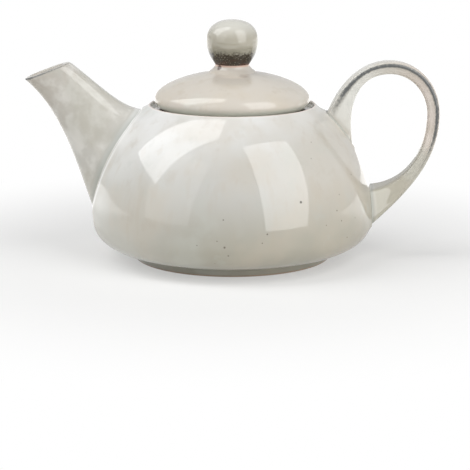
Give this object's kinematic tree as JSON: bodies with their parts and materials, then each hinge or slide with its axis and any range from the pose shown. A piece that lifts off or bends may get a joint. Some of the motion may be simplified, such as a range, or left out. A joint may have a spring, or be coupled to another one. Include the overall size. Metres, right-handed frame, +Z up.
{
  "type": "stoneware teapot",
  "caption": "Low domed stoneware teapot with a curved side spout, a ring handle and a round-knobbed lid that rests in a shallow seat; for brewing and pouring tea.",
  "frame": {"origin": "centre of the foot ring, on the surface that the pot stands on", "axes": "+Z up through the lid's knob; the spout points along -X and the handle along +X"},
  "size_m": [0.175, 0.1186, 0.1006],
  "materials": {
    "glazed_pot": "gloss cream-beige glaze with iron breaks",
    "glazed_lid": "gloss beige glaze, olive and iron-brown under the knob"
  },
  "bodies": {
    "root": {"body": "glazed_pot", "spout": "glazed_pot", "handle": "glazed_pot", "lid": "glazed_lid"}
  },
  "joints": []
}
